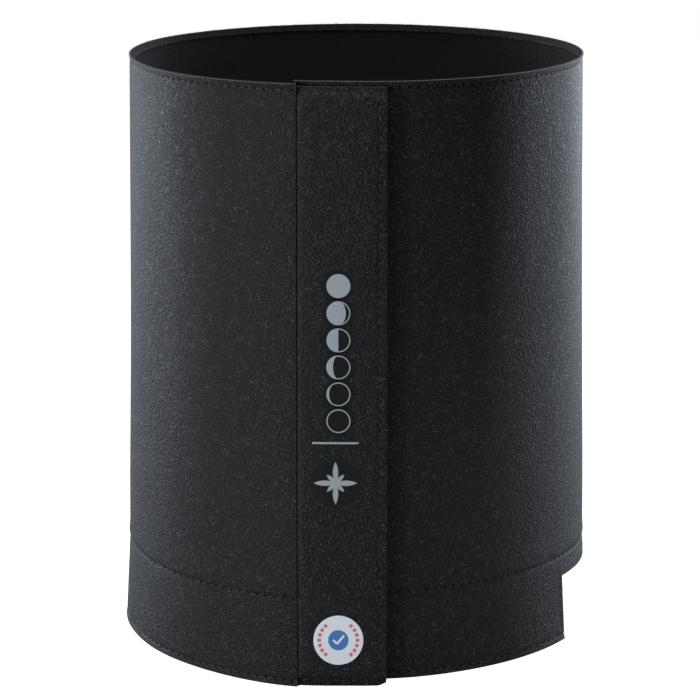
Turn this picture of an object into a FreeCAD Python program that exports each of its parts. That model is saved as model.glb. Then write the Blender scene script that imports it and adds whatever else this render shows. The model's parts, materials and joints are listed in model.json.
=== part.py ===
import FreeCAD, Part
import math
import os
import re

import Sketcher

# Flexible wrap-around dew shield for a telescope tube, rolled up and closed.
#
# +Z runs up the rolled tube from its lower edge, which slips over the telescope, and the flap that
# closes the roll faces -Y. The origin is on the tube's axis at the lower edge. Angles run from the
# front (-Y) towards +X. A sheet that bends everywhere is stood for by three rigid stretches: the
# back, and a left and a right wing that swing open about upright fold lines. The left wing is rolled
# on a slightly larger circle, so that its end comes to lie over the end of the right wing.

doc = FreeCAD.newDocument("dew_shield")

# ---------------------------------------------------------------------------------- dimensions
SIZES = [
    ("height", 304.8, "12 inches, lower edge to upper edge"),
    ("outer_radius", 120.0, "outside of the outer sheet"),
    ("sheet_thickness", 1.0, "textured outer sheet"),
    ("felt_thickness", 1.2, "felt lining"),
    ("band_thickness", 2.3, "folded strip inside the lower edge"),
    ("band_height", 48.0, "height of that strip"),
    ("band_seam", 45.0, "height of the seam that holds the strip"),
    ("edge_seam", 3.0, "from a cut edge to its seam"),
    ("edge_seam_angle", 1.5, "the same distance, as an angle round the tube"),
    ("thread_rise", 0.3, "how far the thread stands above the sheet"),
    ("thread_width", 0.7, "width of a run of stitches"),
    ("thread_angle", 0.35, "the same width, as an angle"),
    ("fold_angle", 120.0, "from the front to each fold line"),
    ("fold_gap", 0.1, "angle left free on each side of a fold line"),
    ("thread_gap", 0.6, "angle between a fold line and the end of a thread"),
    ("wing_offset", 3.0, "how far the left wing's centre is from the axis"),
    ("wing_sweep", 104.3, "angle that the left wing covers about its own centre"),
    ("band_short", 3.0, "angle by which the left strip stops before the wing's end"),
    ("inner_end", 15.6, "angle from the front to the right wing's covered end"),
    ("tape_thickness", 1.2, "hook tape and loop tape, each"),
    ("tape_clearance", 0.4, "between hook tape and loop tape"),
    ("tape_sweep", 17.9, "angle that a 38.1 mm tape covers"),
    ("tape_end", 6.2, "angle from the front to the tapes' right edge"),
    ("tape_inset", 6.0, "from the lower or upper edge to a tape's end"),
    ("tape_backing", 0.5, "woven backing of a tape, without its pile or hooks"),
    ("selvedge", 3.0, "bare backing at a tape's ends"),
    ("selvedge_angle", 1.4, "bare backing along a tape's sides, as an angle"),
    ("flap_root", 14.1, "angle from the front to the seam where the flap starts"),
    ("flap_end", 7.0, "angle from the front to the flap's free edge"),
    ("flap_inset", 1.0, "how much shorter the flap is at each end"),
    ("notch_start", 63.0, "angle from the front to the notch"),
    ("notch_sweep", 50.0, "angle that a 104 mm wide notch covers"),
    ("notch_height", 34.5, "height of the notch"),
    ("notch_edge_angle", 1.8, "from the notch's sides to their seams, as an angle"),
    ("ink_thickness", 0.1, "printed ink"),
    ("paper_thickness", 0.15, "round paper label"),
    ("label_radius", 12.7, "1 inch label"),
    ("label_height", 24.4, "height of the label's centre"),
    ("label_side", -9.1, "the label's centre in X"),
    ("print_side", -8.9, "centre of the row of discs in X"),
    ("disc_radius", 6.0, "printed discs"),
    ("disc_first", 138.2, "height of the lowest disc's centre"),
    ("disc_pitch", 13.6, "from one disc to the next"),
    ("rule_side", -10.4, "centre of the printed rule and emblem in X"),
    ("rule_width", 23.2, "printed rule"),
    ("rule_thickness", 1.0, "printed rule, up the flap"),
    ("rule_height", 126.0, "foot of the printed rule"),
    ("emblem_radius", 11.0, "printed emblem, centre to corner"),
    ("emblem_height", 106.6, "height of the emblem's centre"),
]
DISC_COUNT = 6
EMBLEM_SIDES = 8

dims = doc.addObject("Spreadsheet::Sheet", "dims")
for row, (alias, value, meaning) in enumerate(SIZES, start=1):
    dims.set(f"A{row}", alias)
    dims.set(f"B{row}", str(value))
    dims.set(f"C{row}", meaning)
    dims.setAlias(f"B{row}", alias)
doc.recompute()


def size(text):
    """Write an expression over the sheet, with each alias led by the sheet's name."""
    aliases = {alias for alias, _, _ in SIZES}
    return re.sub(r"[a-z_]+", lambda word: f"dims.{word[0]}" if word[0] in aliases else word[0], text)


# ------------------------------------------------------------------------ a rolled strip of sheet
def new_body(label):
    body = doc.addObject("PartDesign::Body", label)
    body.Label = label
    return body


def strip_sketch(body, name, inner, outer, low, high, start):
    """Draw the section of a rolled strip, turned round the axis to the strip's first angle."""
    plane = next(item for item in body.Origin.OriginFeatures if item.Role == "XZ_Plane")
    sketch = body.newObject("Sketcher::SketchObject", name)
    sketch.AttachmentSupport = [(plane, "")]
    sketch.MapMode = "FlatFace"
    sketch.AttachmentOffset = FreeCAD.Placement(
        FreeCAD.Vector(0, 0, 0), FreeCAD.Rotation(FreeCAD.Vector(0, 1, 0), 10)
    )
    sketch.setExpression("AttachmentOffset.Rotation.Angle", size(f"{start} - 90"))

    corners = [(100, 10), (110, 10), (110, 20), (100, 20)]
    for first, second in zip(corners, corners[1:] + corners[:1]):
        edge = Part.LineSegment(FreeCAD.Vector(*first, 0), FreeCAD.Vector(*second, 0))
        sketch.addGeometry(edge, False)
    for edge in range(4):
        sketch.addConstraint(Sketcher.Constraint("Coincident", edge, 2, (edge + 1) % 4, 1))
    for edge in (0, 2):
        sketch.addConstraint(Sketcher.Constraint("Horizontal", edge))
    for edge in (1, 3):
        sketch.addConstraint(Sketcher.Constraint("Vertical", edge))

    origin = (-1, 1)
    limits = [
        ("inner_radius", "DistanceX", (0, 1), 100, inner),
        ("outer_radius", "DistanceX", (1, 1), 110, outer),
        ("low_edge", "DistanceY", (0, 1), 10, low),
        ("high_edge", "DistanceY", (2, 1), 20, high),
    ]
    for limit, kind, point, value, rule in limits:
        index = sketch.addConstraint(Sketcher.Constraint(kind, *origin, *point, float(value)))
        sketch.renameConstraint(index, limit)
        sketch.setExpression(f"Constraints.{limit}", size(rule))
    return sketch


def roll(body, kind, inner, outer, low, high, start, sweep):
    """Add a rolled strip to a body, or cut one out of it."""
    number = len(body.Group)
    sketch = strip_sketch(body, f"{body.Name}_section_{number}", inner, outer, low, high, start)
    strip = body.newObject(f"PartDesign::{kind}", f"{body.Name}_strip_{number}")
    strip.Profile = sketch
    strip.ReferenceAxis = (sketch, ["V_Axis"])
    strip.setExpression("Angle", size(sweep))
    body.Tip = strip
    return strip


def shift_to_wing_centre(body):
    """Move a body onto the left wing's own centre."""
    body.setExpression("Placement.Base.x", size("wing_offset * sin(fold_angle)"))
    body.setExpression("Placement.Base.y", size("wing_offset * cos(fold_angle)"))


# ------------------------------------------------------------- sheet, felt and strip, three times
LAYERS = {
    "shell": ("outer_radius - sheet_thickness", "outer_radius", "0", "height"),
    "lining": (
        "outer_radius - sheet_thickness - felt_thickness",
        "outer_radius - sheet_thickness",
        "0",
        "height",
    ),
    "seat_band": (
        "outer_radius - sheet_thickness - felt_thickness - band_thickness",
        "outer_radius - sheet_thickness - felt_thickness",
        "0",
        "band_height",
    ),
}
BACK = ("fold_angle + fold_gap", "360 - 2 * fold_angle - 2 * fold_gap")
RIGHT = ("-inner_end", "fold_angle + inner_end - fold_gap")
LEFT = ("-fold_angle + fold_gap", "wing_sweep - fold_gap")
LEFT_BAND = ("-fold_angle + fold_gap", "wing_sweep - fold_gap - band_short")


def wing_radius(rule):
    return f"{rule} + wing_offset"


nodes = []
for layer, (inner, outer, low, high) in LAYERS.items():
    back = new_body(f"back_{layer}")
    roll(back, "Revolution", inner, outer, low, high, *BACK)
    nodes.append(back)

    left = new_body(f"left_{layer}")
    reach = LEFT_BAND if layer == "seat_band" else LEFT
    roll(left, "Revolution", wing_radius(inner), wing_radius(outer), low, high, *reach)
    shift_to_wing_centre(left)
    nodes.append(left)

    # The notch runs up from the lower edge through every layer of the right wing.
    right = new_body(f"right_{layer}")
    whole = roll(right, "Revolution", inner, outer, low, high, *RIGHT)
    doc.recompute()
    volume_before = whole.Shape.Volume
    depth = (f"{inner} - 1", f"{outer} + 1")
    notch = roll(right, "Groove", *depth, "-1", "notch_height", "notch_start", "notch_sweep")
    doc.recompute()
    if not notch.Shape.Volume < volume_before * 0.99:
        raise RuntimeError(f"the notch took nothing from {right.Label}")
    nodes.append(right)


# ----------------------------------------------------------------------------- runs of stitches
THREAD_ON_SHEET = ("outer_radius", "outer_radius + thread_rise")
THREAD_ON_WING = tuple(wing_radius(rule) for rule in THREAD_ON_SHEET)


def level_run(body, radii, height, start, sweep):
    """A run of stitches round the tube, its middle at a height."""
    low = f"{height} - thread_width / 2"
    high = f"{height} + thread_width / 2"
    roll(body, "Revolution", *radii, low, high, start, sweep)


def upright_run(body, radii, low, high, start):
    """A run of stitches up the tube, between two level runs."""
    foot = f"{low} - thread_width / 2"
    head = f"{high} + thread_width / 2"
    roll(body, "Revolution", *radii, foot, head, start, "thread_angle")


BACK_THREAD = ("fold_angle + thread_gap", "360 - 2 * fold_angle - 2 * thread_gap")
LEFT_THREAD = ("-fold_angle + thread_gap", "wing_sweep - thread_gap - edge_seam_angle")
LEFT_BAND_THREAD = ("-fold_angle + thread_gap", "wing_sweep - thread_gap - band_short")
RIGHT_THREAD = ("-inner_end + edge_seam_angle", "fold_angle + inner_end - edge_seam_angle - thread_gap")
UPPER_SEAM = "( height - edge_seam )"
LOWER_SEAM = "edge_seam"
NOTCH_SEAM = "( notch_height + edge_seam )"

for seam, height in (("top", UPPER_SEAM), ("bottom", LOWER_SEAM), ("band", "band_seam")):
    thread = new_body(f"back_{seam}_stitching")
    level_run(thread, THREAD_ON_SHEET, height, *BACK_THREAD)
    nodes.append(thread)

left_edge = new_body("left_edge_stitching")
level_run(left_edge, THREAD_ON_WING, UPPER_SEAM, *LEFT_THREAD)
level_run(left_edge, THREAD_ON_WING, LOWER_SEAM, *LEFT_THREAD)
upright_run(
    left_edge,
    THREAD_ON_WING,
    LOWER_SEAM,
    UPPER_SEAM,
    "-fold_angle + wing_sweep - edge_seam_angle - thread_angle",
)
shift_to_wing_centre(left_edge)
nodes.append(left_edge)

left_band = new_body("left_band_stitching")
level_run(left_band, THREAD_ON_WING, "band_seam", *LEFT_BAND_THREAD)
shift_to_wing_centre(left_band)
nodes.append(left_band)

right_band = new_body("right_band_stitching")
level_run(right_band, THREAD_ON_SHEET, "band_seam", "flap_end", "fold_angle - flap_end - thread_gap")
nodes.append(right_band)

# The seam along the lower edge climbs round the notch and comes down on its far side.
NEAR_SIDE = "notch_start - notch_edge_angle"
FAR_SIDE = "notch_start + notch_sweep + notch_edge_angle"
right_edge = new_body("right_edge_stitching")
level_run(right_edge, THREAD_ON_SHEET, UPPER_SEAM, *RIGHT_THREAD)
upright_run(right_edge, THREAD_ON_SHEET, LOWER_SEAM, UPPER_SEAM, RIGHT_THREAD[0])
level_run(
    right_edge, THREAD_ON_SHEET, LOWER_SEAM, RIGHT_THREAD[0], f"{NEAR_SIDE} + inner_end - edge_seam_angle"
)
upright_run(right_edge, THREAD_ON_SHEET, LOWER_SEAM, NOTCH_SEAM, f"{NEAR_SIDE} - thread_angle")
level_run(
    right_edge,
    THREAD_ON_SHEET,
    NOTCH_SEAM,
    f"{NEAR_SIDE} - thread_angle",
    "notch_sweep + 2 * notch_edge_angle + 2 * thread_angle",
)
upright_run(right_edge, THREAD_ON_SHEET, LOWER_SEAM, NOTCH_SEAM, FAR_SIDE)
level_run(right_edge, THREAD_ON_SHEET, LOWER_SEAM, FAR_SIDE, f"fold_angle - thread_gap - ( {FAR_SIDE} )")
nodes.append(right_edge)


# ------------------------------------------------------------------------- the closure's tapes
# Each tape is a woven backing with a narrower field of loops or hooks, and the two fields face each
# other across a small clearance.
HOOK_FACE = "outer_radius + tape_thickness + tape_clearance"
TAPES = {
    "loop_tape": (
        ("outer_radius", "outer_radius + tape_backing"),
        ("outer_radius + tape_backing", "outer_radius + tape_thickness"),
    ),
    "hook_tape": (
        (f"{HOOK_FACE} + tape_thickness - tape_backing", f"{HOOK_FACE} + tape_thickness"),
        (HOOK_FACE, f"{HOOK_FACE} + tape_thickness - tape_backing"),
    ),
}
TAPE_START = "tape_end - tape_sweep"
for label, (backing, field) in TAPES.items():
    tape = new_body(label)
    roll(tape, "Revolution", *backing, "tape_inset", "height - tape_inset", TAPE_START, "tape_sweep")
    roll(
        tape,
        "Revolution",
        *field,
        "tape_inset + selvedge",
        "height - tape_inset - selvedge",
        f"{TAPE_START} + selvedge_angle",
        "tape_sweep - 2 * selvedge_angle",
    )
    nodes.append(tape)

THREAD_ON_TAPE = ("outer_radius + tape_backing", "outer_radius + tape_backing + thread_rise")
TAPE_FOOT = "( tape_inset + selvedge / 2 )"
TAPE_HEAD = "( height - tape_inset - selvedge / 2 )"
NEAR_SELVEDGE = f"{TAPE_START} + selvedge_angle / 2 - thread_angle / 2"
FAR_SELVEDGE = "tape_end - selvedge_angle / 2 - thread_angle / 2"
tape_thread = new_body("loop_tape_stitching")
upright_run(tape_thread, THREAD_ON_TAPE, TAPE_FOOT, TAPE_HEAD, NEAR_SELVEDGE)
for end in (TAPE_FOOT, TAPE_HEAD):
    level_run(
        tape_thread, THREAD_ON_TAPE, end, NEAR_SELVEDGE, "tape_sweep - selvedge_angle + thread_angle"
    )
upright_run(tape_thread, THREAD_ON_TAPE, TAPE_FOOT, TAPE_HEAD, FAR_SELVEDGE)
nodes.append(tape_thread)

# -------------------------------------------------------------------------------------- the flap
FLAP = (f"{HOOK_FACE} + tape_thickness", f"{HOOK_FACE} + tape_thickness + sheet_thickness")
FLAP_FACE = FLAP[1]
THREAD_ON_FLAP = (FLAP_FACE, f"{FLAP_FACE} + thread_rise")
FLAP_FOOT = "( flap_inset + edge_seam )"
FLAP_HEAD = "( height - flap_inset - edge_seam )"

flap_shell = new_body("flap_shell")
roll(
    flap_shell,
    "Revolution",
    *FLAP,
    "flap_inset",
    "height - flap_inset",
    "-flap_root + fold_gap",
    "flap_root - fold_gap + flap_end",
)
nodes.append(flap_shell)

flap_thread = new_body("flap_stitching")
FLAP_RUN = ("-flap_root + edge_seam_angle", "flap_root + flap_end - 2 * edge_seam_angle")
upright_run(flap_thread, THREAD_ON_FLAP, FLAP_FOOT, FLAP_HEAD, "flap_end - edge_seam_angle - thread_angle")
level_run(flap_thread, THREAD_ON_FLAP, FLAP_FOOT, *FLAP_RUN)
level_run(flap_thread, THREAD_ON_FLAP, FLAP_HEAD, *FLAP_RUN)
nodes.append(flap_thread)


# ------------------------------------------------------------------- label and print on the flap
def thin_sleeve(name, thickness):
    """A full thin sleeve on the flap's outer face, from which flat art is cut out."""
    cylinders = []
    for layer, radius in (("outer", f"{FLAP_FACE} + {thickness}"), ("inner", FLAP_FACE)):
        cylinder = doc.addObject("Part::Cylinder", f"{name}_{layer}")
        cylinder.setExpression("Radius", size(radius))
        cylinder.setExpression("Height", size("height"))
        cylinders.append(cylinder)
    sleeve = doc.addObject("Part::Cut", name)
    sleeve.Base, sleeve.Tool = cylinders
    return sleeve


def facing_front(shape, side, height):
    """Lay a prism or a cylinder on its side, so that it points at -Y through the flap."""
    shape.setExpression("Height", size("outer_radius * 2"))
    shape.Placement = FreeCAD.Placement(
        FreeCAD.Vector(0, 0, 0), FreeCAD.Rotation(FreeCAD.Vector(1, 0, 0), 90)
    )
    shape.setExpression("Placement.Base.x", size(side))
    shape.setExpression("Placement.Base.z", size(height))
    return shape


def round_art(name, radius, side, height):
    disc = doc.addObject("Part::Cylinder", name)
    disc.setExpression("Radius", size(radius))
    return facing_front(disc, side, height)


label_art = round_art("label_art", "label_radius", "label_side", "label_height")
round_label = doc.addObject("Part::Common", "round_label")
round_label.Label = "round_label"
round_label.Base = thin_sleeve("paper_sleeve", "paper_thickness")
round_label.Tool = label_art
nodes.append(round_label)

art = []
for count in range(DISC_COUNT):
    height = f"disc_first + {count} * disc_pitch"
    art.append(round_art(f"disc_art_{count}", "disc_radius", "print_side", height))

rule_art = doc.addObject("Part::Box", "rule_art")
rule_art.setExpression("Length", size("rule_width"))
rule_art.setExpression("Width", size("outer_radius * 2"))
rule_art.setExpression("Height", size("rule_thickness"))
rule_art.setExpression("Placement.Base.x", size("rule_side - rule_width / 2"))
rule_art.setExpression("Placement.Base.y", size("-outer_radius * 2"))
rule_art.setExpression("Placement.Base.z", size("rule_height"))
art.append(rule_art)

emblem_art = doc.addObject("Part::Prism", "emblem_art")
emblem_art.Polygon = EMBLEM_SIDES
emblem_art.setExpression("Circumradius", size("emblem_radius"))
art.append(facing_front(emblem_art, "rule_side", "emblem_height"))

printed_art = doc.addObject("Part::Compound", "printed_art")
printed_art.Links = art
printed_mark = doc.addObject("Part::Common", "printed_mark")
printed_mark.Label = "printed_mark"
printed_mark.Base = printed_art
printed_mark.Tool = thin_sleeve("ink_sleeve", "ink_thickness")
nodes.append(printed_mark)

# --------------------------------------------------------------------------- check and write out
doc.recompute()
for item in doc.Objects:
    if {"Invalid", "Error"} & set(item.State):
        raise RuntimeError(f"{item.Name} did not compute: {item.State}")

os.makedirs("parts", exist_ok=True)
for node in nodes:
    shape = node.Shape
    if shape.isNull() or not shape.isValid() or not shape.Solids:
        raise RuntimeError(f"{node.Label} has no valid solid")
    if not math.isclose(shape.Volume, sum(solid.Volume for solid in shape.Solids), rel_tol=1e-6):
        raise RuntimeError(f"{node.Label} holds something besides its solids")
    shape.exportStep(f"parts/{node.Label}.step")
    box = shape.BoundBox
    print(f"{node.Label:24s} {len(shape.Solids)} solid(s) {shape.Volume:10.1f} mm3  "
          f"X {box.XMin:7.1f} {box.XMax:7.1f}  Y {box.YMin:7.1f} {box.YMax:7.1f}  "
          f"Z {box.ZMin:6.1f} {box.ZMax:6.1f}")
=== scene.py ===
import json
import math
import random

import bmesh
import bpy
from mathutils import Matrix, Vector


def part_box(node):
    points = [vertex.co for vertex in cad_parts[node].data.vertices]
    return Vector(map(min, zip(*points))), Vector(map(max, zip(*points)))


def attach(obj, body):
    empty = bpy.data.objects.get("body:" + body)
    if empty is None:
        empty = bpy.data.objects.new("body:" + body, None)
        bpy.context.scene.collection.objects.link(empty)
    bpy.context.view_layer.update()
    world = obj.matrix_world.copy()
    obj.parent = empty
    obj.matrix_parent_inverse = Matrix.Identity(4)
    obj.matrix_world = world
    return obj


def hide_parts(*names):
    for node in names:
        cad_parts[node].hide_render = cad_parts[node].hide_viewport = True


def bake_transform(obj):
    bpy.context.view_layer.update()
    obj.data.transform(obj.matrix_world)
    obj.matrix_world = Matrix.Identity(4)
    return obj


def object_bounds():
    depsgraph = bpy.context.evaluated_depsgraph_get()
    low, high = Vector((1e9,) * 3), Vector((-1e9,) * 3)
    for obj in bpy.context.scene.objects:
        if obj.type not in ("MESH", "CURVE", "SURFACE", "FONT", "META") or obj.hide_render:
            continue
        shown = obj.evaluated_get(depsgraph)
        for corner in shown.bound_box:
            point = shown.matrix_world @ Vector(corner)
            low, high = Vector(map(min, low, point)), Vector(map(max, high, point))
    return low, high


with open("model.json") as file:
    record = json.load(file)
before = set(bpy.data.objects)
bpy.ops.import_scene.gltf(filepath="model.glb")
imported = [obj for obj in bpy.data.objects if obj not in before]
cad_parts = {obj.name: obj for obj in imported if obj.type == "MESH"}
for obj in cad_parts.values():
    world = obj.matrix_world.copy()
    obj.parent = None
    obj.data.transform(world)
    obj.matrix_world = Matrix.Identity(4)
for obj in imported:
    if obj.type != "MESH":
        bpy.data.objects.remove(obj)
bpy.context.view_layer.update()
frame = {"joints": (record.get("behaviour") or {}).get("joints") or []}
MM = 0.001

# ------------------------------------------------------------------------------- the outer sheet
# One sheet of black coated fabric, 1 mm thick, embossed with a fine pebbled grain. It is cut flat,
# sewn to its lining and rolled up, so it is laid out here as a flat cut and then rolled, in two
# halves that meet at the middle of the back.
tube_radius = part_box("back_shell")[1].y
tube_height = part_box("back_shell")[1].z
joint_at = {joint["name"]: Vector(joint["pos_m"]) for joint in frame["joints"]}
flap_radius = joint_at["flap_peels"].xy.length
fold_turn = math.atan2(-joint_at["left_wing_opens"].x, joint_at["left_wing_opens"].y)
seam_turn = math.atan2(-joint_at["flap_peels"].x, joint_at["flap_peels"].y)
sheet_depth = 1.0 * MM
stitch_pitch = 4.8 * MM
hem = 3.0 * MM
top_seam = tube_height - hem
band_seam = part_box("back_band_stitching")[1].z
LEFT, RIGHT = -1, 1


def bell(distance, width):
    return math.exp(-((distance / width) ** 2))


def ease(share):
    share = min(max(share, 0.0), 1.0)
    return share * share * (3 - 2 * share)


def roll_radius(side, turn):
    """The outer sheet's radius, a turn away from the middle of the back, before it is shaped."""
    swing = max(turn - fold_turn, 0.0) if side == LEFT else 0.0
    rise = (1 - math.cos(swing)) / (1 - math.cos(seam_turn - fold_turn))
    bulge = 0.45 * MM * bell(turn - math.radians(95), math.radians(40)) if side == RIGHT else 0.0
    return tube_radius + (flap_radius - 0.1 * MM - tube_radius) * rise + bulge


def seam_pull(height):
    """How the seams draw the sheet in and make it stand out beside them."""
    from_band = height - band_seam
    pull = -0.5 * bell(from_band, 1.3 * MM) + 0.45 * bell(from_band - 3.5 * MM, 2.8 * MM)
    pull += -0.3 * bell(height - top_seam, 0.9 * MM) + 0.35 * ease((height - top_seam) / hem)
    pull += -0.3 * bell(height - hem, 0.9 * MM) + 0.2 * ease((hem - height) / hem)
    return pull * MM


def spread(height):
    """The rolled sheet opens a little towards its foot, and more below the seat band's seam."""
    barrel = 0.4 * bell(height - 75 * MM, 50 * MM)
    return (1.9 - 4.2 * height / tube_height + barrel + 2.1 * max(1 - height / band_seam, 0.0)) * MM


def held_back(height, turn):
    """What the stiff closure takes off the spread at the front, so that the flap's seam is straight."""
    return max(spread(height), 0.0) * ease((turn - math.radians(125)) / math.radians(35))


def flare(height, turn):
    """How far the sheet stands outside its roll, at a height and a turn."""
    return spread(height) - held_back(height, turn)


def ripple(side, turn, height):
    """Slow unevenness of a sheet that was rolled by hand."""
    wide = 0.22 * math.sin(5 * turn * side + 1.3) * (0.4 + height / tube_height)
    return (wide + 0.12 * math.sin(11 * turn * side + 21 * height + 0.4)) * MM


def flat_zone(side, turn):
    """The stiff closure holds the front of the roll nearly flat."""
    front = math.pi - turn if side == RIGHT else turn - math.pi
    return -1.0 * MM * bell(front + math.radians(3.5), math.radians(7.5))


def skew(side, turn, height):
    """The two ends of the roll don't quite line up: the left hangs lower than the right."""
    reach = ease((turn - math.radians(70)) / math.radians(70))
    if side == RIGHT:
        foot, head = 2.8 * MM * reach, 0.2 * MM * reach
    else:
        early = ease(turn / math.radians(60)) * min(reach / 0.01, 1.0)
        late = ease((turn - math.radians(100)) / math.radians(70))
        foot, head = (0.6 * early - 1.8 * late) * MM, -0.9 * MM * reach
    return foot + (head - foot) * height / tube_height - 0.4 * held_back(height, turn)


def rolled(side, turn, height, depth):
    """Where a point of the flat cut comes to lie, at a depth inside the sheet's outer face."""
    radius = roll_radius(side, turn) + flare(height, turn) + seam_pull(height)
    radius += ripple(side, turn, height) + flat_zone(side, turn) - depth
    x, y = side * radius * math.sin(turn), radius * math.cos(turn)
    return Vector((x, y, height + skew(side, turn, height)))


def spaced(first, last, step):
    count = max(round((last - first) / step), 1)
    return [first + (last - first) * number / count for number in range(count + 1)]


def sewn_arcs(length, shares):
    """Arcs of a flat cut's columns, so many to a stitch, with one at every needle hole."""
    step = stitch_pitch / shares
    whole = int((length - step / 2) / step)
    return [*(number * step for number in range(whole + 1)), length]


def rows_up(low, high, seams, step):
    """Heights of a flat cut's rows, close together beside each seam."""
    beside = [0.0, 0.35, 0.8, 1.5, 2.6]
    fine = {seam + sign * gap * MM for seam in seams for gap in beside for sign in (-1, 1)}
    coarse = [row for row in spaced(low, high, step) if all(abs(row - seam) > 3.2 * MM for seam in seams)]
    inside = {round(row, 6) for row in [*fine, *coarse] if low + 0.1 * MM < row < high - 0.1 * MM}
    return [low, *sorted(inside), high]


def flat_cut(arcs, heights):
    """A flat cut of cloth with a vertex at each arc and height, and its UV map in metres."""
    bm = bmesh.new()
    columns, rows = len(arcs) - 1, len(heights) - 1
    bmesh.ops.create_grid(bm, x_segments=columns, y_segments=rows, size=0.5)
    for vert in bm.verts:
        column = round((vert.co.x + 0.5) * columns)
        row = round((vert.co.y + 0.5) * rows)
        vert.co = (arcs[column], heights[row], 0)
    uv = bm.loops.layers.uv.new("flat_cut")
    for face in bm.faces:
        for loop in face.loops:
            loop[uv].uv = loop.vert.co.xy
    return bm


def cut_away(bm, inside):
    """Cut out of a flat cut the faces whose middles lie inside."""
    gone = [face for face in bm.faces if inside(face.calc_center_median())]
    bmesh.ops.delete(bm, geom=gone, context="FACES")


def needle_pull(arc, height, runs):
    """How deep the needle holes of some level seams draw the sheet in at a point."""
    along = (arc / stitch_pitch) % 1.0
    off = min(along, 1 - along) * stitch_pitch
    return sum(0.16 * MM * bell(off, 0.9 * MM) * bell(height - run, 0.7 * MM) for run in runs)


def finished(name, bm, materials, smooth=True):
    """Turn a bmesh into an object with its materials."""
    mesh = bpy.data.meshes.new(name)
    bm.to_mesh(mesh)
    bm.free()
    mesh.polygons.foreach_set("use_smooth", [smooth] * len(mesh.polygons))
    piece = bpy.data.objects.new(name, mesh)
    bpy.context.scene.collection.objects.link(piece)
    for material in materials:
        mesh.materials.append(material)
    return piece


def thicken(piece, depth, rim=0, offset=-1.0, even=True):
    """Give a sheet its thickness, with a rim of its own material and crisp edges."""
    wall = piece.modifiers.new("wall", "SOLIDIFY")
    wall.thickness = depth
    wall.offset = offset
    wall.use_even_offset = even
    wall.material_offset_rim = rim
    bpy.context.view_layer.update()
    thin = piece.data
    piece.data = bpy.data.meshes.new_from_object(piece.evaluated_get(bpy.context.evaluated_depsgraph_get()))
    piece.modifiers.clear()
    bpy.data.meshes.remove(thin)
    piece.data.name = piece.name
    piece.data.set_sharp_from_angle(angle=math.radians(40))


def bend_with_wing(piece):
    """Bake a piece's placement into its mesh."""
    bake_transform(piece)


def new_material(name):
    material = bpy.data.materials.new(name)
    material.use_nodes = True
    nodes = material.node_tree.nodes
    return material, nodes, material.node_tree.links, nodes["Principled BSDF"]


def node(nodes, kind, **settings):
    """Add a shader node, set its properties, and set the sockets named by 'in_' and a number."""
    made = nodes.new(kind)
    for name, value in settings.items():
        if name.startswith("in_"):
            made.inputs[int(name[3:])].default_value = value
        else:
            setattr(made, name, value)
    return made


def mix_of(nodes, dark, light):
    """A mix from one colour to another."""
    made = node(nodes, "ShaderNodeMix", data_type="RGBA")
    made.inputs["A"].default_value = (*dark, 1)
    made.inputs["B"].default_value = (*light, 1)
    return made


def group_of(name, inputs, outputs):
    """An empty node group with named inputs and outputs."""
    tree = bpy.data.node_groups.new(name, "ShaderNodeTree")
    for label, kind, value in inputs:
        socket = tree.interface.new_socket(label, in_out="INPUT", socket_type=kind)
        if value is not None:
            socket.default_value = value
    for label, kind in outputs:
        tree.interface.new_socket(label, in_out="OUTPUT", socket_type=kind)
    return tree, tree.nodes, tree.links


def use_group(nodes, tree, **values):
    made = nodes.new("ShaderNodeGroup")
    made.node_tree = tree
    for label, value in values.items():
        made.inputs[label.replace("_", " ")].default_value = value
    return made


# The embossed grain: a fine pebble of uneven size, pressed a little unevenly, whose crowns get a
# smoother finish and, in the coated sheet, a painted glint in their colour.
grain, nodes, links = group_of(
    "embossed_grain",
    [("Place", "NodeSocketVector", None), ("Pebble size", "NodeSocketFloat", 0.001)],
    [("Height", "NodeSocketFloat"), ("Glint", "NodeSocketFloat"), ("Patch", "NodeSocketFloat")],
)
given = node(nodes, "NodeGroupInput")
result = node(nodes, "NodeGroupOutput")
per_metre = node(nodes, "ShaderNodeMath", operation="DIVIDE", in_0=1.0)
links.new(given.outputs["Pebble size"], per_metre.inputs[1])
warp = node(nodes, "ShaderNodeTexNoise", in_2=1100.0, in_3=2.0)
links.new(given.outputs["Place"], warp.inputs["Vector"])
shift = node(nodes, "ShaderNodeVectorMath", operation="MULTIPLY_ADD")
shift.inputs[1].default_value = (0.0009, 0.0009, 0.0)
links.new(warp.outputs["Color"], shift.inputs[0])
links.new(given.outputs["Place"], shift.inputs[2])
pebbles = node(nodes, "ShaderNodeTexVoronoi", feature="SMOOTH_F1")
pebbles.inputs["Smoothness"].default_value = 0.45
links.new(shift.outputs[0], pebbles.inputs["Vector"])
links.new(per_metre.outputs[0], pebbles.inputs["Scale"])
crowns = node(nodes, "ShaderNodeTexNoise", in_2=1150.0, in_3=2.0, in_4=0.6)
links.new(given.outputs["Place"], crowns.inputs["Vector"])
pressed = node(nodes, "ShaderNodeTexNoise", in_2=230.0, in_3=2.0)
links.new(given.outputs["Place"], pressed.inputs["Vector"])
dome = node(nodes, "ShaderNodeMath", operation="MULTIPLY_ADD", in_1=-0.8)
links.new(pebbles.outputs["Distance"], dome.inputs[0])
links.new(crowns.outputs["Fac"], dome.inputs[2])
height = node(nodes, "ShaderNodeMath", operation="MULTIPLY_ADD", in_1=0.5)
links.new(pressed.outputs["Fac"], height.inputs[0])
links.new(dome.outputs[0], height.inputs[2])
links.new(height.outputs[0], result.inputs["Height"])
crown = node(nodes, "ShaderNodeMapRange", interpolation_type="SMOOTHSTEP", in_1=0.48, in_2=0.72)
links.new(height.outputs[0], crown.inputs[0])
links.new(crown.outputs[0], result.inputs["Glint"])
patch = node(nodes, "ShaderNodeTexNoise", in_2=30.0, in_3=5.0)
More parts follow.
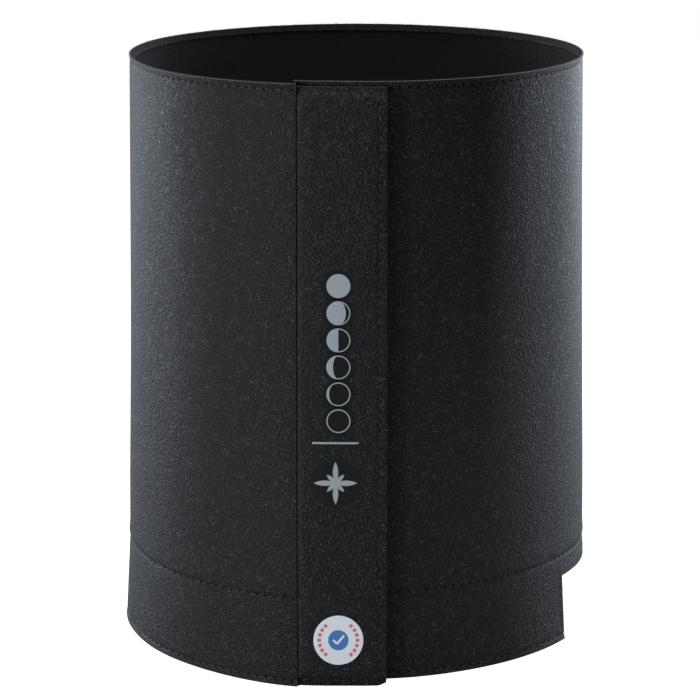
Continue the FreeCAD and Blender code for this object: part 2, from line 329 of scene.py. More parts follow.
links.new(given.outputs["Place"], patch.inputs["Vector"])
links.new(patch.outputs["Fac"], result.inputs["Patch"])

sheet_black, nodes, links, skin = new_material("coated_sheet")
flat = node(nodes, "ShaderNodeUVMap", uv_map="flat_cut")
pebbled = use_group(nodes, grain, Pebble_size=0.001)
links.new(flat.outputs[0], pebbled.inputs["Place"])
tone = mix_of(nodes, (0.0008, 0.0009, 0.0011), (0.0024, 0.0027, 0.0032))
links.new(pebbled.outputs["Patch"], tone.inputs["Factor"])
# Painted glint: the grain's crowns get a lighter, bluish base colour that stands in for the light they
# catch.
painted_glint = node(nodes, "ShaderNodeMix", data_type="RGBA")
painted_glint.inputs["B"].default_value = (0.06, 0.068, 0.078, 1)
links.new(pebbled.outputs["Glint"], painted_glint.inputs["Factor"])
links.new(tone.outputs["Result"], painted_glint.inputs["A"])
links.new(painted_glint.outputs["Result"], skin.inputs["Base Color"])
shine = node(nodes, "ShaderNodeMapRange", in_1=0.0, in_2=1.0, in_3=0.6, in_4=0.34)
links.new(pebbled.outputs["Glint"], shine.inputs[0])
links.new(shine.outputs[0], skin.inputs["Roughness"])
relief = node(nodes, "ShaderNodeBump")
relief.inputs["Strength"].default_value = 0.9
relief.inputs["Distance"].default_value = 0.0006
links.new(pebbled.outputs["Height"], relief.inputs["Height"])
links.new(relief.outputs[0], skin.inputs["Normal"])
skin.inputs["Specular IOR Level"].default_value = 0.3

cut_edge, nodes, links, skin = new_material("cut_edge_of_sheet")
place = node(nodes, "ShaderNodeTexCoord")
threads = node(nodes, "ShaderNodeTexNoise", in_2=1400.0, in_3=3.0)
links.new(place.outputs["Object"], threads.inputs["Vector"])
tone = mix_of(nodes, (0.04, 0.044, 0.05), (0.2, 0.215, 0.245))
links.new(threads.outputs["Fac"], tone.inputs["Factor"])
links.new(tone.outputs["Result"], skin.inputs["Base Color"])
skin.inputs["Roughness"].default_value = 0.8

right_end = math.pi + math.atan2(-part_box("right_shell")[0].x, tube_radius)
notch_low, notch_high = 62.2, 113.0
notch_top = 34.5 * MM
notch_seam = notch_top + 4.2 * MM


def in_notch(middle):
    front = 180 - math.degrees(middle.x / tube_radius)
    return notch_low < front < notch_high and middle.y < notch_top


def area_of_cut(side, end_turn, height):
    """A half's flat area, less the notch in the right one."""
    area = height * end_turn * tube_radius
    if side == RIGHT:
        area -= math.radians(notch_high - notch_low) * tube_radius * notch_top
    return area


for side, end_turn in ((LEFT, seam_turn), (RIGHT, right_end)):
    name = "left" if side == LEFT else "right"
    arcs = sewn_arcs(end_turn * tube_radius, 4)
    seams = [hem, band_seam, top_seam]
    if side == RIGHT:
        seams += [notch_top, notch_seam]
    cut = flat_cut(arcs, rows_up(0.0, tube_height, seams, 9 * MM))
    if side == RIGHT:
        cut_away(cut, in_notch)
    for vert in cut.verts:
        arc, height = vert.co.x, vert.co.y
        pull = needle_pull(arc, height, [hem, band_seam, top_seam])
        vert.co = rolled(side, arc / tube_radius, height, pull)
    if side == RIGHT:
        bmesh.ops.reverse_faces(cut, faces=cut.faces)
    sheet = finished(f"outer_sheet_{name}", cut, [sheet_black, cut_edge])
    thicken(sheet, sheet_depth, rim=1)
    bend_with_wing(sheet)
    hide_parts(f"{name}_shell", "back_shell")
    area_of_cut(side, end_turn, tube_height)

# ------------------------------------------------------------------------------ the felt lining
# Black needle-punched felt, 1.2 mm thick, cut to the same outline as the sheet and sewn to it all
# round. It keeps stray light from shining off the inside of the shield.
felt_depth = 1.2 * MM

# A nap of short fibres that lie every way, used on felt, on the seat band and on the loop tape. Its
# colour is lighter on the tallest fibres, as loose lint, and darker between them as painted shade.
nap, nodes, links = group_of(
    "fibre_nap",
    [("Place", "NodeSocketVector", None), ("Fibres per metre", "NodeSocketFloat", 1500.0)],
    [("Height", "NodeSocketFloat"), ("Lint and gap shade", "NodeSocketFloat")],
)
given = node(nodes, "NodeGroupInput")
result = node(nodes, "NodeGroupOutput")
tangle = node(nodes, "ShaderNodeTexNoise", in_3=4.0)
links.new(given.outputs["Place"], tangle.inputs["Vector"])
links.new(given.outputs["Fibres per metre"], tangle.inputs["Scale"])
tufts = node(nodes, "ShaderNodeTexNoise", in_2=260.0, in_3=2.0)
links.new(given.outputs["Place"], tufts.inputs["Vector"])
both = node(nodes, "ShaderNodeMath", operation="MULTIPLY_ADD", in_1=0.6)
links.new(tufts.outputs["Fac"], both.inputs[0])
links.new(tangle.outputs["Fac"], both.inputs[2])
links.new(both.outputs[0], result.inputs["Height"])
lint_and_gap_shade = node(nodes, "ShaderNodeMapRange", in_1=0.62, in_2=0.8, in_3=0.0, in_4=1.0)
links.new(tangle.outputs["Fac"], lint_and_gap_shade.inputs[0])
links.new(lint_and_gap_shade.outputs[0], result.inputs["Lint and gap shade"])


def napped(name, dark, light, fibres, relief_depth, sheen):
    """A fabric with a nap, lighter on its tallest fibres as lint and darker between them as painted shade.
    """
    material, nodes, links, skin = new_material(name)
    place = node(nodes, "ShaderNodeTexCoord")
    fuzzy = use_group(nodes, nap, Fibres_per_metre=fibres)
    links.new(place.outputs["Object"], fuzzy.inputs["Place"])
    # Painted shade between the fibres, following the nap's height; the light end is lint on the fibre tops.
    tone = mix_of(nodes, dark, light)
    links.new(fuzzy.outputs["Lint and gap shade"], tone.inputs["Factor"])
    links.new(tone.outputs["Result"], skin.inputs["Base Color"])
    relief = node(nodes, "ShaderNodeBump")
    relief.inputs["Strength"].default_value = 0.9
    relief.inputs["Distance"].default_value = relief_depth
    links.new(fuzzy.outputs["Height"], relief.inputs["Height"])
    links.new(relief.outputs[0], skin.inputs["Normal"])
    skin.inputs["Roughness"].default_value = 0.95
    skin.inputs["Specular IOR Level"].default_value = 0.1
    skin.inputs["Sheen Weight"].default_value = sheen
    skin.inputs["Sheen Roughness"].default_value = 0.6
    return material


felt_black = napped("black_felt", (0.02, 0.0205, 0.0212), (0.062, 0.064, 0.067), 1500.0, 0.0006, 0.1)

for side, end_turn in ((LEFT, seam_turn), (RIGHT, right_end)):
    name = "left" if side == LEFT else "right"
    arcs = sewn_arcs(end_turn * tube_radius, 2)
    seams = [hem, band_seam, top_seam]
    if side == RIGHT:
        seams += [notch_top]
    cut = flat_cut(arcs, rows_up(0.0, tube_height, seams, 9 * MM))
    if side == RIGHT:
        cut_away(cut, in_notch)
    for vert in cut.verts:
        arc, height = vert.co.x, vert.co.y
        sunk = sheet_depth - needle_pull(arc, height, [top_seam])
        vert.co = rolled(side, arc / tube_radius, height, sunk)
    if side == RIGHT:
        bmesh.ops.reverse_faces(cut, faces=cut.faces)
    lining = finished(f"felt_lining_{name}", cut, [felt_black])
    thicken(lining, felt_depth)
    bend_with_wing(lining)
    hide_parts(f"{name}_lining", "back_lining")
    area_of_cut(side, end_turn, tube_height)

# Fibres stand out of the felt's raw upper edge, where the knife left them loose.
fibre_black, nodes, links, skin = new_material("loose_fibres")
place = node(nodes, "ShaderNodeTexCoord")
dust = node(nodes, "ShaderNodeTexNoise", in_2=500.0)
links.new(place.outputs["Object"], dust.inputs["Vector"])
tone = mix_of(nodes, (0.01, 0.01, 0.011), (0.05, 0.052, 0.058))
links.new(dust.outputs["Fac"], tone.inputs["Factor"])
links.new(tone.outputs["Result"], skin.inputs["Base Color"])
skin.inputs["Roughness"].default_value = 0.9
chance = random.Random(7)


def one_of_many(name, bm):
    """A small shape that is made once and set down many times."""
    shape = bpy.data.meshes.new(name)
    bm.to_mesh(shape)
    bm.free()
    return shape


def set_down(bm, shape, place):
    copy = shape.copy()
    copy.transform(place)
    bm.from_mesh(copy)
    bpy.data.meshes.remove(copy)


def stand(root, out):
    """The place of a shape that stands on a point, its Z axis outwards."""
    return Matrix.Translation(root) @ out.to_track_quat("Z", "Y").to_matrix().to_4x4()


bm = bmesh.new()
bmesh.ops.create_cone(bm, cap_ends=False, segments=3, radius1=0.05 * MM, radius2=0.012 * MM, depth=MM)
bmesh.ops.translate(bm, verts=bm.verts, vec=(0, 0, MM / 2))
fibre = one_of_many("fibre", bm)
for side, end_turn in ((LEFT, seam_turn), (RIGHT, right_end)):
    name = "left" if side == LEFT else "right"
    tufts = bmesh.new()
    for count in range(2600):
        turn = chance.uniform(0, end_turn)
        depth = sheet_depth + chance.uniform(0, felt_depth)
        root = rolled(side, turn, tube_height - 0.1 * MM, depth)
        lean = Vector((chance.gauss(0, 0.7), chance.gauss(0, 0.7), 1)).normalized()
        set_down(tufts, fibre, stand(root, lean) @ Matrix.Scale(chance.uniform(0.3, 1.2), 4, (0, 0, 1)))
    fuzz = finished(f"felt_fuzz_{name}", tufts, [fibre_black])
    bend_with_wing(fuzz)

# -------------------------------------------------------------------------------- the seat band
# A strip of thicker felt, 2.3 mm by 48 mm, sewn inside the foot of the shield. It is what grips the
# telescope's tube, and it stops just short of the flap.
band_depth = 2.3 * MM
band_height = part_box("back_seat_band")[1].z
band_felt = napped("band_felt", (0.006, 0.006, 0.0065), (0.016, 0.016, 0.018), 1200.0, 0.0005, 0.06)
left_band_end = math.pi + math.atan2(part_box("left_seat_band")[1].x, tube_radius)
for side, end_turn in ((LEFT, left_band_end), (RIGHT, right_end)):
    name = "left" if side == LEFT else "right"
    arcs = sewn_arcs(end_turn * tube_radius, 2)
    seams = [hem, band_seam]
    if side == RIGHT:
        seams += [notch_top]
    cut = flat_cut(arcs, rows_up(0.0, band_height, seams, 6 * MM))
    if side == RIGHT:
        cut_away(cut, in_notch)
    for vert in cut.verts:
        arc, height = vert.co.x, vert.co.y
        fold = 0.9 * MM * bell(height - band_height, 1.2 * MM)
        sunk = sheet_depth + felt_depth - needle_pull(arc, height, [band_seam]) - fold * 0.3
        vert.co = rolled(side, arc / tube_radius, height, sunk)
    if side == RIGHT:
        bmesh.ops.reverse_faces(cut, faces=cut.faces)
    band = finished(f"seat_band_{name}", cut, [band_felt])
    thicken(band, band_depth)
    soft_edge = band.modifiers.new("soft_edge", "BEVEL")
    soft_edge.width = 0.7 * MM
    soft_edge.segments = 3
    soft_edge.limit_method = "ANGLE"
    soft_edge.angle_limit = math.radians(50)
    bend_with_wing(band)
    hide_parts(f"{name}_seat_band", "back_seat_band")
    area_of_cut(side, end_turn, band_height)

# ------------------------------------------------------------------------------------ the seams
# Lockstitch in black twisted thread, about five stitches to the inch, 3 mm from every cut edge and
# along the top of the seat band. Each stitch dives into a needle hole at both ends.
thread_radius = 0.27 * MM
thread_black, nodes, links, skin = new_material("twisted_thread")
along = node(nodes, "ShaderNodeUVMap", uv_map="stitch")
plies = node(nodes, "ShaderNodeTexWave", wave_type="BANDS", bands_direction="DIAGONAL")
plies.inputs["Scale"].default_value = 3.0
links.new(along.outputs[0], plies.inputs["Vector"])
tone = mix_of(nodes, (0.008, 0.008, 0.009), (0.03, 0.031, 0.034))
links.new(plies.outputs["Fac"], tone.inputs["Factor"])
links.new(tone.outputs["Result"], skin.inputs["Base Color"])
relief = node(nodes, "ShaderNodeBump")
relief.inputs["Strength"].default_value = 0.7
relief.inputs["Distance"].default_value = 0.0001
links.new(plies.outputs["Fac"], relief.inputs["Height"])
links.new(relief.outputs[0], skin.inputs["Normal"])
skin.inputs["Roughness"].default_value = 0.45
skin.inputs["Sheen Weight"].default_value = 0.1

# Painted shade: a near-black, unshiny material for the flat beads set into each needle hole, standing in
# for the shadow inside it.
needle_hole_shade, nodes, links, skin = new_material("needle_hole_shade")
place = node(nodes, "ShaderNodeTexCoord")
shade_mottle = node(nodes, "ShaderNodeTexNoise", in_2=1800.0)
links.new(place.outputs["Object"], shade_mottle.inputs["Vector"])
tone = mix_of(nodes, (0.001, 0.001, 0.0012), (0.005, 0.005, 0.0057))
links.new(shade_mottle.outputs["Fac"], tone.inputs["Factor"])
links.new(tone.outputs["Result"], skin.inputs["Base Color"])
skin.inputs["Roughness"].default_value = 1.0
skin.inputs["Specular IOR Level"].default_value = 0.0


def round_bead(name, rounds, material_index):
    """A small round shape, its parts put in a fixed order, because the sphere's own order varies."""
    bm = bmesh.new()
    bm.loops.layers.uv.new("stitch")
    bmesh.ops.create_uvsphere(bm, u_segments=rounds, v_segments=rounds, radius=0.5, calc_uvs=True)
    for face in bm.faces:
        face.material_index = material_index
        face.smooth = True
    across = Vector((1.0, 7.3, 53.1))
    bm.verts.sort(key=lambda vert: vert.co.dot(across))
    bm.faces.sort(key=lambda face: face.calc_center_median().dot(across))
    return one_of_many(name, bm)


stitch = round_bead("stitch", 6, 0)
hole_shade_bead = round_bead("needle_hole_shade_bead", 8, 1)


def lying(centre, along, out, length, width, rise):
    """The place of a bead that lies along the cloth."""
    across = out.cross(along).normalized()
    out = along.cross(across).normalized()
    place = Matrix((across * width, out * rise, along * length)).transposed().to_4x4()
    place.translation = centre
    return place


def sewn(name, holes, hole_shade_width=0.8 * MM):
    """A run of stitches between needle holes, each given as a place and the way out of the cloth, with a
    flat bead of painted shade at every hole.
    """
    bm = bmesh.new()
    bm.loops.layers.uv.new("stitch")
    for (first, out_first), (second, out_second) in zip(holes, holes[1:]):
        along = second - first
        if along.length > 1.6 * stitch_pitch:
            continue
        out = (out_first + out_second).normalized()
        centre = (first + second) / 2 - out * 0.04 * MM
        thickness = 2 * thread_radius * chance.uniform(0.92, 1.06)
        lie = lying(centre, along.normalized(), out, along.length * 0.86, thickness, thickness)
        set_down(bm, stitch, lie)
    # At every needle hole a flat near-black bead: painted shade for the hole's shadow.
    for (place, out), (beside, _) in zip(holes, holes[1:] + holes[-2:-1]):
        along = (beside - place).normalized()
        if (beside - place).length > 1.6 * stitch_pitch:
            along = Vector((0, 0, 1)).cross(out)
        set_down(bm, hole_shade_bead, lying(place, along, out, 1.8 * hole_shade_width, hole_shade_width, 0.4 * hole_shade_width))
    return finished(name, bm, [thread_black, needle_hole_shade])


def outward(side, turn):
    return Vector((side * math.sin(turn), math.cos(turn), 0))


def hole(side, turn, height, depth, face=1):
    """A needle hole on the cloth's outer face (1) or its inner face (-1)."""
    return rolled(side, turn, height, depth), outward(side, turn) * face


def level_holes(side, first, last, height, depth, face=1):
    """Needle holes round the roll, in step with the dimples in the sheet."""
    step = stitch_pitch / tube_radius
    numbers = range(math.ceil(first / step), math.floor(last / step) + 1)
    return [hole(side, number * step, height, depth, face) for number in numbers]


def upright_holes(side, turn, low, high, depth, face=1):
    return [hole(side, turn, height, depth, face) for height in spaced(low, high, stitch_pitch)]


dimple = 0.03 * MM
through = sheet_depth + felt_depth
hem_turn = hem / tube_radius
notch_near = math.pi - math.radians(notch_low)
notch_far = math.pi - math.radians(notch_high)
for side, end_turn in ((LEFT, seam_turn), (RIGHT, right_end)):
    name = "left" if side == LEFT else "right"
    last = end_turn - (0.3 * MM if side == LEFT else hem) / tube_radius
    for face, depth, lie in ((1, dimple, "outside"), (-1, through, "inside")):
        hole_shade_width = 0.8 * MM if face == 1 else 0.45 * MM
        run = level_holes(side, 0, last, top_seam, depth, face)
        piece = sewn(f"top_stitches_{name}_{lie}", run, hole_shade_width)
        bend_with_wing(piece)
        if face == 1:
            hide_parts("back_top_stitching", f"{name}_edge_stitching")

        # The lower seam goes through the seat band as well, and round the notch on the right.
        deep = depth if face == 1 else through + band_depth
        if side == LEFT:
            run = level_holes(side, 0, last, hem, deep, face)
        else:
            run = level_holes(side, 0, notch_far - hem_turn, hem, deep, face)
            run += upright_holes(side, notch_far - hem_turn, hem, notch_seam, deep, face)[1:]
            run += level_holes(side, notch_far, notch_near + hem_turn, notch_seam, deep, face)
            run += upright_holes(side, notch_near + hem_turn, hem, notch_seam, deep, face)[::-1]
            run += level_holes(side, notch_near + 2 * hem_turn, last, hem, deep, face)
        piece = sewn(f"bottom_stitches_{name}_{lie}", run, hole_shade_width)
        bend_with_wing(piece)
        if face == 1:
            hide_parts("back_bottom_stitching")

        band_last = left_band_end if side == LEFT else right_end - math.radians(24)
        run = level_holes(side, 0, band_last, band_seam, deep if face == -1 else dimple, face)
        piece = sewn(f"band_stitches_{name}_{lie}", run, hole_shade_width)
        bend_with_wing(piece)
        if face == 1:
            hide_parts("back_band_stitching", f"{name}_band_stitching")

# -------------------------------------------------------------------------------- the loop tape
# Woven nylon tape, 38 mm wide, brushed into a pile of soft loops. It is sewn to the outside of the
# right end, under the flap, with a bare selvedge on each side for its stitches.
tape_low, tape_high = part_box("loop_tape")
tape_near = math.pi + math.atan2(-tape_low.x, tube_radius)
tape_far = math.pi - math.atan2(tape_high.x, tube_radius)
backing_depth = 0.5 * MM
loop_black = napped("loop_pile", (0.006, 0.006, 0.0065), (0.02, 0.02, 0.022), 900.0, 0.0006, 0.12)

weave, nodes, links, skin = new_material("woven_backing")
flat = node(nodes, "ShaderNodeUVMap", uv_map="flat_cut")
picks = node(nodes, "ShaderNodeTexChecker", in_3=1400.0)
links.new(flat.outputs[0], picks.inputs["Vector"])
tone = mix_of(nodes, (0.009, 0.009, 0.01), (0.022, 0.022, 0.025))
links.new(picks.outputs["Fac"], tone.inputs["Factor"])
links.new(tone.outputs["Result"], skin.inputs["Base Color"])
relief = node(nodes, "ShaderNodeBump")
relief.inputs["Distance"].default_value = 0.0001
links.new(picks.outputs["Fac"], relief.inputs["Height"])
links.new(relief.outputs[0], skin.inputs["Normal"])
skin.inputs["Roughness"].default_value = 0.6


def taped(name, side, turns, heights, depth, thickness, material, shaggy=0.0):
    """A length of tape laid on the roll, its field roughened if it is shaggy."""
    arcs = spaced(turns[0] * tube_radius, turns[1] * tube_radius, 1.2 * MM)
    cut = flat_cut(arcs, spaced(*heights, 1.2 * MM))
    for vert in cut.verts:
        turn, height = vert.co.x / tube_radius, vert.co.y
        vert.co = rolled(side, turn, height, depth - chance.uniform(0, shaggy))
    if side == RIGHT:
        bmesh.ops.reverse_faces(cut, faces=cut.faces)
    tape = finished(name, cut, [material])
    thicken(tape, thickness)
    return tape


selvedge = 3.0 * MM
tape_rows = (tape_low.z, tape_high.z)
field_rows = (tape_low.z + selvedge, tape_high.z - selvedge)
field_turns = (tape_far + selvedge / tube_radius, tape_near - selvedge / tube_radius)
backing = taped(
    "loop_tape_backing", RIGHT, (tape_far, tape_near), tape_rows, -backing_depth, backing_depth, weave
)
pile = taped(
    "loop_tape_pile", RIGHT, field_turns, field_rows, -1.0 * MM, 0.6 * MM, loop_black, shaggy=0.35 * MM
)
for piece in (backing, pile):
    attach(piece, "right_wing")
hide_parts("loop_tape")

half_selvedge = selvedge / 2
corners = (
    (tape_far + half_selvedge / tube_radius, tape_low.z + half_selvedge),
    (tape_near - half_selvedge / tube_radius, tape_high.z - half_selvedge),
)
run = upright_holes(RIGHT, corners[0][0], corners[0][1], corners[1][1], -backing_depth)
run += level_holes(RIGHT, corners[0][0], corners[1][0], corners[1][1], -backing_depth)
run += upright_holes(RIGHT, corners[1][0], corners[0][1], corners[1][1], -backing_depth)[::-1]
run += level_holes(RIGHT, corners[0][0], corners[1][0], corners[0][1], -backing_depth)[::-1]
piece = sewn("loop_tape_stitches", run)
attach(piece, "right_wing")
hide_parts("loop_tape_stitching", "right_edge_stitching")

# ------------------------------------------------------------------------------------- the flap
# A strip of the same coated sheet, 45 mm wide and as high as the shield. It is sewn to the end of
# the left wing, carries the hook tape on its inside, and closes over the loop tape.
flap_low, flap_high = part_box("flap_shell")
flap_end = math.pi + math.atan2(flap_high.x, tube_radius)
flap_foot, flap_head = flap_low.z, flap_high.z
allowance = 5.0 * MM
crease_pull = 0.9 * MM
flap_width = (flap_end - seam_turn) * flap_radius


def on_flap(arc, height, depth):
    """Where a point of the flap's flat cut comes to lie, its arc counted from the seam."""
    turn = seam_turn + arc / flap_radius
    radius = flap_radius + flare(height, turn) + ripple(LEFT, turn, height) - depth
    radius += seam_pull(height) * 0.35 * ease((height - top_seam + 6 * MM) / hem)
    radius += flat_zone(LEFT, turn)
    radius -= crease_pull * bell(arc, 1.8 * MM) + 0.25 * MM * ease(-arc / allowance)
    beyond_tape = max(height - tape_rows[1], tape_rows[0] - height) + 1.5 * MM
    radius -= 2.1 * MM * ease(beyond_tape / (6.5 * MM)) * ease(arc / (2 * MM))
    sag = -0.3 * MM * height / tube_height
    sag -= 0.9 * MM * (1 - height / tube_height) * (1 - arc / flap_width)
    corner = ease((arc - flap_width + 4 * MM) / (4 * MM)) * ease((flap_foot + 4 * MM - height) / (4 * MM))
    sag += 1.4 * MM * corner
    x, y = LEFT * radius * math.sin(turn), radius * math.cos(turn)
    return Vector((x, y, height + skew(LEFT, seam_turn, height) + sag))


def bend_at_seam(piece):
    """Bake the placement of a piece of the flap into its mesh."""
    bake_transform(piece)


def flap_holes(run, depth, face=1):
    """Needle holes on the flap, from places on its flat cut."""
    return [
        (on_flap(arc, height, depth), outward(LEFT, seam_turn + arc / flap_radius) * face)
        for arc, height in run
    ]


flap_hem = 3.4 * MM
free_seam = flap_width - flap_hem
flap_rows = rows_up(flap_foot, flap_head, [flap_foot + flap_hem, flap_head - flap_hem], 7 * MM)
flap_arcs = [-allowance, *spaced(-3.0 * MM, 3.0 * MM, 0.5 * MM), *spaced(4 * MM, flap_width, 0.8 * MM)]


def flap_dimple(arc, height):
    """Dents at the needle holes, and the groove that each seam draws."""
    along = (height / stitch_pitch) % 1.0
    off = min(along, 1 - along) * stitch_pitch
    dent = 0.18 * bell(arc - free_seam, 0.9 * MM)
    dent += 0.2 * bell(off, 0.9 * MM) * bell(arc - free_seam, 0.8 * MM)
    for run in (flap_foot + flap_hem, flap_head - flap_hem):
        dent += 0.2 * bell(height - run, 0.8 * MM) * (arc > 0)
    return dent * MM


cut = flat_cut(flap_arcs, flap_rows)
for vert in cut.verts:
    arc, height = vert.co.x, vert.co.y
    vert.co = on_flap(arc, height, flap_dimple(arc, height))
flap = finished("flap_sheet", cut, [sheet_black, cut_edge])
thicken(flap, sheet_depth, rim=1)
bend_at_seam(flap)
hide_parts("flap_shell")

flap_rise = spaced(flap_foot + flap_hem, flap_head - flap_hem, stitch_pitch)
level = spaced(2.5 * MM, free_seam, stitch_pitch)
run = [(arc, flap_rise[0]) for arc in level]
run += [(free_seam, height) for height in flap_rise[1:]]
run += [(arc, flap_rise[-1]) for arc in level[::-1][1:]]
piece = sewn("flap_stitches", flap_holes(run, 0.2 * MM), 0.65 * MM)
bend_at_seam(piece)
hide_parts("flap_stitching")
run = [(0.6 * MM, height) for height in flap_rise]
piece = sewn("flap_seam_stitches", flap_holes(run, 0.15 * MM))
bend_at_seam(piece)

# The hook tape: a woven backing with rows of stiff mushroom hooks, sewn in under the flap.
hook_nylon, nodes, links, skin = new_material("hook_nylon")
place = node(nodes, "ShaderNodeTexCoord")
shade = node(nodes, "ShaderNodeTexNoise", in_2=800.0)
links.new(place.outputs["Object"], shade.inputs["Vector"])
tone = mix_of(nodes, (0.01, 0.01, 0.011), (0.03, 0.03, 0.033))
links.new(shade.outputs["Fac"], tone.inputs["Factor"])
links.new(tone.outputs["Result"], skin.inputs["Base Color"])
skin.inputs["Roughness"].default_value = 0.35
hook_arcs = (flap_width - 2 * MM - 38.1 * MM, flap_width - 2 * MM)
cut = flat_cut(spaced(*hook_arcs, 1.5 * MM), spaced(*tape_rows, 3 * MM))
for vert in cut.verts:
    vert.co = on_flap(vert.co.x, vert.co.y, sheet_depth)
backing = finished("hook_tape_backing", cut, [weave])
thicken(backing, backing_depth)
bm = bmesh.new()
bmesh.ops.create_cone(bm, cap_ends=True, segments=5, radius1=0.14 * MM, radius2=0.32 * MM, depth=0.6 * MM)
hook = one_of_many("hook", bm)
hooks = bmesh.new()
for row in spaced(field_rows[0], field_rows[1], 1.9 * MM):
    for arc in spaced(hook_arcs[0] + selvedge, hook_arcs[1] - selvedge, 1.9 * MM):
        out = -outward(LEFT, seam_turn + arc / flap_radius)
        root = on_flap(arc, row, sheet_depth + backing_depth)
        lean = (out + Vector((chance.uniform(-0.15, 0.15), 0, chance.uniform(-0.15, 0.15)))).normalized()
        set_down(hooks, hook, stand(root + lean * 0.28 * MM, lean))
field = finished("hook_tape_hooks", hooks, [hook_nylon], smooth=False)
for piece in (backing, field):
    bend_at_seam(piece)
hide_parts("hook_tape")
run = [(hook_arcs[1] - half_selvedge, height) for height in flap_rise[2:-2]]
piece = sewn("hook_tape_stitches", flap_holes(run, sheet_depth + backing_depth, -1))
bend_at_seam(piece)

# ---------------------------------------------------------------------------------- the print
# Pale grey heat-transfer ink on the flap, over a clear film that fills the grain a little. The
# design is six phases of the moon above a thin rule and an eight-pointed star.
ink_grey, nodes, links, skin = new_material("grey_ink")
flat = node(nodes, "ShaderNodeUVMap", uv_map="flat_cut")
pebbled = use_group(nodes, grain, Pebble_size=0.001)
links.new(flat.outputs[0], pebbled.inputs["Place"])
tone = mix_of(nodes, (0.33, 0.385, 0.41), (0.4, 0.46, 0.485))
links.new(pebbled.outputs["Patch"], tone.inputs["Factor"])
links.new(tone.outputs["Result"], skin.inputs["Base Color"])
relief = node(nodes, "ShaderNodeBump")
relief.inputs["Strength"].default_value = 0.25
relief.inputs["Distance"].default_value = 0.0001
links.new(pebbled.outputs["Height"], relief.inputs["Height"])
links.new(relief.outputs[0], skin.inputs["Normal"])
skin.inputs["Roughness"].default_value = 0.6

film, nodes, links, skin = new_material("clear_film")
flat = node(nodes, "ShaderNodeUVMap", uv_map="flat_cut")
pebbled = use_group(nodes, grain, Pebble_size=0.001)
links.new(flat.outputs[0], pebbled.inputs["Place"])
tone = mix_of(nodes, (0.003, 0.0034, 0.004), (0.007, 0.0076, 0.0086))
links.new(pebbled.outputs["Patch"], tone.inputs["Factor"])
links.new(tone.outputs["Result"], skin.inputs["Base Color"])
relief = node(nodes, "ShaderNodeBump")
relief.inputs["Strength"].default_value = 0.2
relief.inputs["Distance"].default_value = 0.0001
links.new(pebbled.outputs["Height"], relief.inputs["Height"])
links.new(relief.outputs[0], skin.inputs["Normal"])
skin.inputs["Roughness"].default_value = 0.5
skin.inputs["Specular IOR Level"].default_value = 0.3

mark_low, mark_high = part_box("printed_mark")


def flap_arc(x):
    """The flap's flat coordinate of a place across the front of the shield."""
    return (math.asin(x / flap_radius) + math.pi - seam_turn) * flap_radius


def art(bm, columns, rows, place):
    """A patch of flat art: place turns shares from 0 to 1 into millimetres across and up."""
    shape = bmesh.ops.create_grid(bm, x_segments=columns, y_segments=rows, size=0.5)["verts"]
    for vert in shape:
        across, up = place(vert.co.x + 0.5, vert.co.y + 0.5)
        vert.co = (across, up, 0)


def moon(centre, radius, terminator):
    """A lit part of the moon, from its limb to half an ellipse."""
    def place(share, up):
        lean = (up - 0.5) * math.pi
        limb = radius * math.cos(lean)
        return centre[0] + limb * (-1 + share * (1 + terminator)), centre[1] + radius * math.sin(lean)
    return place


def ring(centre, radius, width, first=0.0, last=1.0):
    """Part of a ring, its ends as shares of a full turn."""
    def place(share, up):
        angle = 2 * math.pi * (first + (last - first) * share)
        reach = radius - width * (1 - up)
        return centre[0] + reach * math.cos(angle), centre[1] + reach * math.sin(angle)
    return place


def star(centre, long_reach, short_reach, valley):
    """An eight-pointed star, its points long and short by turns, from its middle outwards."""
    def place(share, up):
        angle = 2 * math.pi * share
        point = (share * 8) % 1.0
        first = long_reach if int(share * 8) % 2 == 0 else short_reach
        second = short_reach if int(share * 8) % 2 == 0 else long_reach
        if point < 0.5:
            reach = first + (valley - first) * point * 2
        else:
            reach = valley + (second - valley) * (point * 2 - 1)
        return centre[0] + reach * up * math.sin(angle), centre[1] + reach * up * math.cos(angle)
    return place


def printed(name, bm, material, lift, thickness):
    """Lay flat art on the flap's outer face."""
    bmesh.ops.remove_doubles(bm, verts=bm.verts, dist=0.01 * MM)
    uv = bm.loops.layers.uv.new("flat_cut")
    for face in bm.faces:
        for loop in face.loops:
            loop[uv].uv = loop.vert.co.xy
    for vert in bm.verts:
        vert.co = on_flap(vert.co.x, vert.co.y, flap_dimple(vert.co.x, vert.co.y) - lift)
    bmesh.ops.recalc_face_normals(bm, faces=bm.faces)
    if sum(face.normal.y * face.calc_area() for face in bm.faces) > 0:
        bmesh.ops.reverse_faces(bm, faces=bm.faces)
    piece = finished(name, bm, [material])
    thicken(piece, thickness, offset=1.0, even=False)
    bend_at_seam(piece)
    return piece


disc_radius = 6.0 * MM
disc_pitch = 13.6 * MM
row_arc = flap_arc(-8.9 * MM)
rule_arc = flap_arc((mark_low.x + mark_high.x) / 2)
first_disc = mark_high.z - disc_radius
phases = [1.0, 0.62, 0.0, -0.45, -0.78, -0.93]
ink = bmesh.new()
clear = bmesh.new()
for number, terminator in enumerate(phases):
    centre = (row_arc, first_disc - number * disc_pitch)
    art(ink, 8, 24, moon(centre, disc_radius, terminator))
    if terminator < 1:
        art(ink, 48, 1, ring(centre, disc_radius, 0.55 * MM))
    art(clear, 48, 6, ring(centre, disc_radius + 2.2 * MM, disc_radius + 2.2 * MM))
rule_up = mark_low.z + 22.2 * MM + 8.7 * MM
rule_half = 11.6 * MM
art(ink, 24, 1, lambda share, up: (rule_arc + rule_half * (2 * share - 1), rule_up + up * 1.0 * MM))
star_centre = (rule_arc, mark_low.z + 11.0 * MM)
